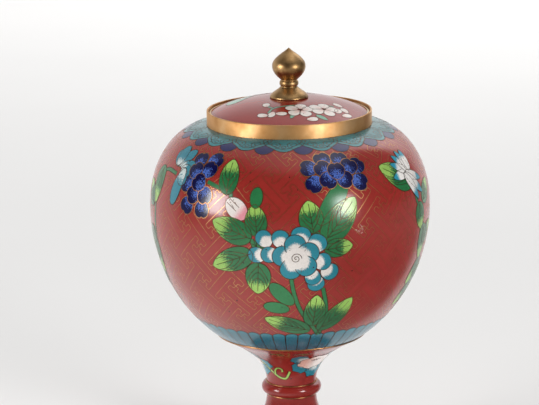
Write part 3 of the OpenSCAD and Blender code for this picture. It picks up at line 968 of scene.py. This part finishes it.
def five_petals(cells, wires, wall, seat, turn, reach, size, shape, width, mark_of):
    """A round blossom: five petals, their middles this far from its own."""
    for k in range(5):
        way = turn + 72 * k
        swing = math.radians(way)
        middle = [(reach * math.sin(swing), reach * math.cos(swing))]
        place = cell_path(wall, seat, 0, (2, 2), oval, middle)[0]
        lay_cell(cells, wires, wall, place, way, size, shape, 1 + 0.3 * k, width=width, fine=6,
                 mark_of=mark_of)


# tendrils in a lying S, one after another round the bell, with a small round blossom in each bend
for turned in range(0, 360, 60):
    draw_stalk(foot_curls, foot_wires, foot, [(turned + a, v) for a, v in FOOT_TENDRIL], 1.5, 1)
    five_petals(foot_blossoms, foot_wires, foot, (turned - 9, 19.5), 0, 2.1, (3.4, 3.6), petal, 0.4, tipped)
for bm in (foot_cells, foot_curls, foot_blossoms):
    raise_inlay(bm)
roll_wires(foot_wires)
make_piece("foot_tendrils", foot_curls, tendril_green, "jar")
make_piece("foot_blossoms", foot_blossoms, lip_blue, "jar")
make_piece("foot_lappets", foot_cells, lappet_blue, "jar")
make_piece("foot_wires", foot_wires, wire_brown, "jar")


# ---------------------------------------------------------------------------------------
# Counter enamel: the thin blue glass fired on the inside of every wall, which keeps the
# copper from warping. It is left unstoned, so it is glossy and full of pits.
# Pale turquoise glass with twice the pits of the outside.
counter = enamel("counter_enamel", "#4A9FB0", grain=0.3, pits=0.7)
for name in ("bowl_lining", "foot_lining", "lid_lining"):
    coat_node(name, counter)


# ---------------------------------------------------------------------------------------
# Brass fittings: the collar and its seat, the foot rim and the lid's edge and locating
# ring are rolled or turned brass, brazed on after the last firing and gilded.
COLLAR_TOP = 232.549
COLLAR_LOW = BELLY_Z + SHOULDER_H - 3.0


def turned_lines(tree, spot, scale, detail, strength):
    """Fine lines that a lathe or a brush leaves round a piece, as a relief."""
    parts = add(tree, "SeparateXYZ", {"Vector": spot})
    level = add(tree, "CombineXYZ", {"Z": parts.outputs["Z"]})
    lines = add(tree, "TexNoise", {"Vector": level.outputs[0], "Scale": scale, "Detail": detail})
    return add(tree, "Bump", {"Height": lines.outputs["Fac"], "Strength": strength, "Distance": 0.0002})


# Gilded brass, brushed round the jar: warm yellow, with fine lines drawn along the turn.
gilt, tree, spot = new_material("gilded_brass")
cloudy = add(tree, "TexNoise", {"Vector": spot, "Scale": 70.0, "Detail": 5.0})
tone = add(tree, "ValToRGB", {"Fac": cloudy.outputs["Fac"],
                              "stops": [(0.3, "#B5834E"), (0.5, "#CC9C66"), (0.7, "#DEB482")]})
dull = add(tree, "MapRange", {"Value": cloudy.outputs["Fac"], "From Min": 0.35, "From Max": 0.7,
                              "To Min": 0.56, "To Max": 0.46})
scored = turned_lines(tree, spot, 3000.0, 2.0, 0.15)
skin = add(tree, "BsdfPrincipled", {"Base Color": tone.outputs["Color"], "Metallic": 1.0,
                                    "Roughness": dull.outputs[0], "Normal": scored.outputs["Normal"]})
add(tree, "OutputMaterial", {"Surface": skin.outputs[0]})

collar_outline = [(COLLAR_R - 1.2, COLLAR_LOW), (COLLAR_R, COLLAR_LOW), (COLLAR_R, COLLAR_TOP - 0.35),
                  (COLLAR_R - 0.1, COLLAR_TOP - 0.1), (COLLAR_R - 0.35, COLLAR_TOP),
                  (COLLAR_R - 0.85, COLLAR_TOP), (COLLAR_R - 1.1, COLLAR_TOP - 0.1),
                  (COLLAR_R - 1.2, COLLAR_TOP - 0.35)]
make_piece("mouth_collar", spun(collar_outline), gilt, "jar", "collar_ring", crease=50)
for name in ("seat_ring", "foot_rim", "lid_flange"):
    coat_node(name, gilt)
# Brass rubbed bare and pale where the lid is handled: cream coloured, almost matt.
rubbed = mottled_metal("rubbed_lid_edge", 90.0, 4.0, [(0.35, "#CDB48C"), (0.65, "#EBDDBE")], 0.55)
coat_node("lid_edge", rubbed)


# ---------------------------------------------------------------------------------------
# Lid: a shallow dome of copper with the red ground and a branch of plum blossom, edged
# with a brass band that shows as a thin line inside the collar.
LID_R, LID_FLAT_R = 50.0, 9.0
LID_EDGE_Z = 231.149
LID_RISE = 9.2
DOME_R = ((LID_R - LID_FLAT_R) ** 2 + LID_RISE ** 2) / (2 * LID_RISE)


def lid_z(r):
    """Height of the lid's top at a radius."""
    fall = 0 if r <= LID_FLAT_R else DOME_R - math.sqrt(DOME_R ** 2 - (r - LID_FLAT_R) ** 2)
    return LID_EDGE_Z - 0.1 + LID_RISE - fall


dome = [(r, lid_z(r)) for r in [LID_R - (LID_R - LID_FLAT_R + 0.4) * i / 60 for i in range(61)]]
lid_top = Wall(dome, dome[0])
lid_face = lid_top.run(0, lid_top.up[-1], 1.2)
lid_back = [(r, z - ENAMEL_T) for r, z in lid_face[::-1]]
make_piece("lid_ground", spun(lid_face + lid_back), red_enamel, "lid", "lid_enamel")

plum, plum_wires, twigs, lid_leaves = new_cells(), new_wires(), new_cells(), new_cells()


def lid_seat(x, y, turned=0):
    """A seat on the lid from its plan: x to the right and y away from the front, turned with its branch."""
    return turned + math.degrees(math.atan2(x, -y)), lid_top.height_of(lid_z(math.hypot(x, y)))


def plum_petal(x, y):
    """Small round petal, narrower at its root."""
    return x * (0.85 + 0.2 * y), y


# blossoms, buds, twigs and leaves of the front branch; the back one is the same, turned half round
BLOSSOMS = [(7, -30, 18.5, 15), (22, -25.5, 18, 40)]
BUDS = [(-16.5, -35.5, -90), (-11, -35.5, 180), (-5, -35, 90), (-14.5, -20, -40), (31, -24, 60),
        (35, -20, 30), (31, -13, 20), (36, -27, 100), (14.5, -40.5, 90)]
TWIGS = [[(-13, -33), (-10, -27), (-4, -24), (4, -22), (10, -26)], [(-10, -27), (-14, -22)],
         [(10, -26), (20, -19), (28, -17)]]
LID_LEAVES = [(20.5, -37, 150, 9), (2, -38.5, 200, 7)]
LID_WIRE = 0.34
for turned in (0, 180):
    for x, y, size, turn in BLOSSOMS:
        seat = lid_seat(x, y, turned)
        five_petals(plum, plum_wires, lid_top, seat, turn, size * 0.3, (size * 0.46, size * 0.46), plum_petal,
                    LID_WIRE, lipped)
        eye = [(0.5 * math.sin(math.pi * k / 4), 0.5 * math.cos(math.pi * k / 4)) for k in range(8)]
        draw_wire(plum_wires, lid_top, cell_path(lid_top, seat, 0, (2, 2), oval, eye), True, 0.36, 0.16)
    for x, y, way in BUDS:
        lay_cell(plum, plum_wires, lid_top, lid_seat(x, y, turned), way, (5.6, 7.6), plum_petal, 1,
                 width=LID_WIRE, fine=6, mark_of=lipped)
    for line in TWIGS:
        draw_stalk(twigs, plum_wires, lid_top, [lid_seat(x, y, turned) for x, y in line], 1.6, 0.5)
    for x, y, way, length in LID_LEAVES:
        lay_cell(lid_leaves, plum_wires, lid_top, lid_seat(x, y, turned), way, (length * 0.42, length),
                 leaf, 0.6, width=LID_WIRE)
# one long leaf of the back branch comes round on the left
lay_cell(lid_leaves, plum_wires, lid_top, lid_seat(-32, 10), -68, (11, 27), leaf, 0.6, width=LID_WIRE)
for bm in (plum, twigs, lid_leaves):
    raise_inlay(bm)
roll_wires(plum_wires)
# Tin white with gold pink packed at each petal's root.
plum_white = enamel("plum_petal_enamel", "#D9A69C", "#E4DAD2", turn_at=0.34, spread=0.16, grain=0.14)
make_piece("plum_petals", plum, plum_white, "lid")
# Twigs and leaves of the plum: greyed copper green, plain.
twig_green = enamel("twig_green_enamel", "#6FA088")
make_piece("plum_twigs", twigs, twig_green, "lid")
make_piece("plum_leaves", lid_leaves, twig_green, "lid")
make_piece("plum_wires", plum_wires, wire_brown, "lid")


# ---------------------------------------------------------------------------------------
# Finial: turned from bar brass with its threaded stud in one piece, left ungilded, so it
# has gone brown in the hollows and carries a few casting pits.
STUD_R, STUD_LOW = 2.0, 231.649
LID_TOP = 240.249
FINIAL_H = 32.2
TIP = LID_TOP + FINIAL_H
BULB_R, NECK_R, BASE_R = 10.7, 5.3, 12.3
UNIT = FINIAL_H / 33        # the finial's outline is laid out in thirty-thirds of its height
BEAD_H = 23.4               # how far under the tip the neck bead sits, in units
NECK_TOP = (NECK_R, TIP - 21 * UNIT)
BULB_SIDE = (BULB_R, TIP - 12 * UNIT)


def sweep(a, b, c, e, count):
    """Corners along a cubic curve, its start left out."""
    return [bezier(a, b, c, e, i / count) for i in range(1, count + 1)]


profile = [(0, STUD_LOW), (STUD_R - 0.4, STUD_LOW), (STUD_R, STUD_LOW + 0.4), (STUD_R, LID_TOP),
           (BASE_R - 0.5, LID_TOP), (BASE_R - 0.15, LID_TOP + 0.12), (BASE_R, LID_TOP + 0.4 * UNIT),
           (BASE_R, LID_TOP + 1.0 * UNIT)]
profile += sweep((BASE_R, LID_TOP + 1.0 * UNIT), (BASE_R - 1.8, LID_TOP + 4.0 * UNIT),
                 (NECK_R + 1.6, LID_TOP + 5.2 * UNIT), (NECK_R, LID_TOP + 7.4 * UNIT), 20)
profile += [(NECK_R - 0.2 + math.cos(math.radians(a)),
             TIP - BEAD_H * UNIT + 1.9 * UNIT * math.sin(math.radians(a))) for a in range(-80, 81, 10)]
profile += [NECK_TOP]
profile += sweep(NECK_TOP, (BULB_R * 0.75, TIP - 18.6 * UNIT), (BULB_R, TIP - 16 * UNIT), BULB_SIDE, 22)
profile += sweep(BULB_SIDE, (BULB_R, TIP - 6.6 * UNIT), (BULB_R * 0.243, TIP - 3 * UNIT), (0, TIP), 28)

# Aged brass, ungilded: olive brown with yellow where hands rub it, fine turning lines, dark pits.
aged, tree, spot = new_material("aged_turned_brass")
stain = add(tree, "TexNoise", {"Vector": spot, "Scale": 180.0, "Detail": 5.0})
tone = add(tree, "ValToRGB", {"Fac": stain.outputs["Fac"],
                              "stops": [(0.3, "#846440"), (0.5, "#A88558"), (0.72, "#C09C6E")]})
specked = pitted(tree, spot, tone.outputs["Color"], 260.0, 0.25, 0.16, "#2A1C0E")
scored = turned_lines(tree, spot, 2200.0, 3.0, 0.2)
skin = add(tree, "BsdfPrincipled", {"Base Color": specked.outputs[2], "Metallic": 1.0, "Roughness": 0.4,
                                    "Normal": scored.outputs["Normal"]})
add(tree, "OutputMaterial", {"Surface": skin.outputs[0]})

make_piece("finial_turning", spun(profile, 120), aged, "finial", "finial", crease=38)
coat_node("nut_washer", aged)
coat_node("finial_nut", aged)

# Pressed wool felt: brown, matt, with a short nap.
felt, tree, spot = new_material("wool_felt")
nap = add(tree, "TexNoise", {"Vector": spot, "Scale": 1500.0, "Detail": 4.0})
tone = add(tree, "ValToRGB", {"Fac": nap.outputs["Fac"], "stops": [(0.3, "#3E2E22"), (0.7, "#6B5440")]})
fuzz = add(tree, "Bump", {"Height": nap.outputs["Fac"], "Strength": 0.6, "Distance": 0.0005})
skin = add(tree, "BsdfPrincipled", {"Base Color": tone.outputs["Color"], "Roughness": 0.95,
                                    "Sheen Weight": 0.3, "Normal": fuzz.outputs["Normal"]})
add(tree, "OutputMaterial", {"Surface": skin.outputs[0]})
coat_node("seat_washer", felt)


# ---------------------------------------------------------------------------------------
# Studio: a plain pale floor, a white tent behind the jar with its roof lit, a dark room in
# front, and two soft boxes beside the camera.
floor_bm = bmesh.new()
bmesh.ops.create_grid(floor_bm, x_segments=1, y_segments=1, size=6.0)
floor_mesh = bpy.data.meshes.new("floor")
floor_bm.to_mesh(floor_mesh)
floor_bm.free()
floor = bpy.data.objects.new("floor", floor_mesh)
bpy.context.scene.collection.objects.link(floor)
# Seamless background paper: pale warm grey, matt.
paper, tree, spot = new_material("background_paper")
mottle = add(tree, "TexNoise", {"Vector": spot, "Scale": 3.0})
tone = add(tree, "ValToRGB", {"Fac": mottle.outputs["Fac"], "stops": [(0.0, "#E6E5E4"), (1.0, "#EAE9E8")]})
skin = add(tree, "BsdfPrincipled", {"Base Color": tone.outputs["Color"], "Roughness": 0.8})
add(tree, "OutputMaterial", {"Surface": skin.outputs[0]})
floor_mesh.materials.append(paper)

world = bpy.data.worlds.new("tent")
bpy.context.scene.world = world
world.use_nodes = True
tree = world.node_tree
tree.nodes.clear()
way = add(tree, "TexCoord", {}).outputs["Generated"]
parts = add(tree, "SeparateXYZ", {"Vector": way})
# behind: the tent's back wall, which comes further round on the left
level = add(tree, "VectorMath", {"operation": "MULTIPLY", 0: way, 1: (1, 1, 0)})
level = add(tree, "VectorMath", {"operation": "NORMALIZE", 0: level.outputs[0]})
facing = add(tree, "VectorMath", {"operation": "DOT_PRODUCT", 0: level.outputs[0], 1: (-0.276, 0.961, 0)})
# in front: a dark room above the table's edge, the pale edge itself, and a dimmer floor
rise = add(tree, "MapRange", {"Value": parts.outputs["Z"], "From Min": -1.0, "From Max": 1.0})
room = add(tree, "ValToRGB", {"Fac": rise.outputs[0], "stops": [(0.25, "#5C5C5C"), (0.38, "#989898"),
                                                                (0.46, "#989898"), (0.53, "#4A4A4A")]})
behind = add(tree, "MapRange", {"Value": facing.outputs["Value"], "From Min": 0.42, "From Max": 0.56,
                                "To Min": room.outputs["Color"], "To Max": 1.0})
# above: the tent's roof; below: the table, lit from the left, as polished things see it
above = add(tree, "MapRange", {"Value": parts.outputs["Z"], "From Min": 0.8, "From Max": 0.97,
                               "To Min": 0.0, "To Max": 0.9})
table = add(tree, "MapRange", {"Value": parts.outputs["X"], "From Min": -0.5, "From Max": 0.7,
                               "To Min": 1.2, "To Max": 0.12})
under = add(tree, "MapRange", {"Value": parts.outputs["Z"], "From Min": -0.05, "From Max": -0.4,
                               "To Min": 0.0, "To Max": 1.0})
table = add(tree, "Math", {"operation": "MULTIPLY", 0: table.outputs[0], 1: under.outputs[0]})
bright = add(tree, "Math", {"operation": "MAXIMUM", 0: behind.outputs[0], 1: above.outputs[0]})
# high up, the tent is brighter on the right than on the left
height = add(tree, "MapRange", {"Value": parts.outputs["Z"], "From Min": 0.2, "From Max": 0.6,
                                "To Min": 0.0, "To Max": 1.0})
left = add(tree, "MapRange", {"Value": parts.outputs["X"], "From Min": -0.5, "From Max": 0.0,
                              "To Min": -0.55, "To Max": 0.0})
right = add(tree, "MapRange", {"Value": parts.outputs["X"], "From Min": 0.05, "From Max": 0.5,
                               "To Min": 0.0, "To Max": 1.9})
swell = add(tree, "Math", {"operation": "ADD", 0: left.outputs[0], 1: right.outputs[0]})
swell = add(tree, "Math", {"operation": "MULTIPLY_ADD", 0: height.outputs[0], 1: swell.outputs[0], 2: 1.0})
bright = add(tree, "Math", {"operation": "MULTIPLY", 0: bright.outputs[0], 1: swell.outputs[0]})
bright = add(tree, "Math", {"operation": "MAXIMUM", 0: bright.outputs[0], 1: table.outputs[0]})
sky = add(tree, "Background", {"Color": linear("#FFFFFF"), "Strength": bright.outputs[0]})
add(tree, "OutputWorld", {"Surface": sky.outputs[0]})
# polished surfaces see the table's glow from the tent above instead of the paper itself
floor.visible_glossy = False


GLOBE_MIDDLE = Vector((0, 0, 0.16))


def soft_box(name, azimuth, elevation, distance, width, height, power):
    """A soft box that faces the middle of the globe: degrees, metres and watts."""
    lamp = bpy.data.lights.new(name, "AREA")
    lamp.shape = "RECTANGLE"
    lamp.size = width
    lamp.size_y = height
    lamp.energy = power
    box = bpy.data.objects.new(name, lamp)
    bpy.context.scene.collection.objects.link(box)
    a, e = math.radians(azimuth), math.radians(elevation)
    out = Vector((math.sin(a) * math.cos(e), -math.cos(a) * math.cos(e), math.sin(e)))
    turn = out.to_track_quat("Z", "Y").to_matrix().to_4x4()
    box.matrix_world = Matrix.Translation(GLOBE_MIDDLE + out * distance) @ turn


soft_box("left_box", -61, 12, 1.2, 0.36, 0.44, 8.0)
soft_box("right_box", 44, 12, 1.2, 0.28, 0.38, 7.0)
roof = bpy.data.lights.new("back_roof", "AREA")
roof.shape = "RECTANGLE"
roof.size, roof.size_y, roof.energy = 3.0, 2.4, 56
roof_box = bpy.data.objects.new("back_roof", roof)
roof_box.location = (0.6, 2.7, 2.0)
roof_box.visible_glossy = False
bpy.context.scene.collection.objects.link(roof_box)

# a long lens from 1.5 m, a little above the lid
CAMERA_AT = (0, -1.482, 0.5225)
lens = bpy.data.cameras.new("camera")
lens.lens = 157.8
lens.sensor_width = 36.0
camera = bpy.data.objects.new("camera", lens)
bpy.context.scene.collection.objects.link(camera)
pitch, yaw, roll = math.radians(13.33), math.radians(-0.51), math.radians(-0.6)
ahead = Vector((math.sin(yaw) * math.cos(pitch), math.cos(yaw) * math.cos(pitch), -math.sin(pitch)))
right = Vector((math.cos(yaw), -math.sin(yaw), 0))
up = right.cross(ahead)
camera_right = right * math.cos(roll) + up * math.sin(roll)
camera_up = up * math.cos(roll) - right * math.sin(roll)
turn = Matrix((camera_right, camera_up, -ahead)).transposed().to_4x4()
camera.matrix_world = Matrix.Translation(CAMERA_AT) @ turn
bpy.context.scene.camera = camera
bpy.context.scene.view_settings.view_transform = "Standard"
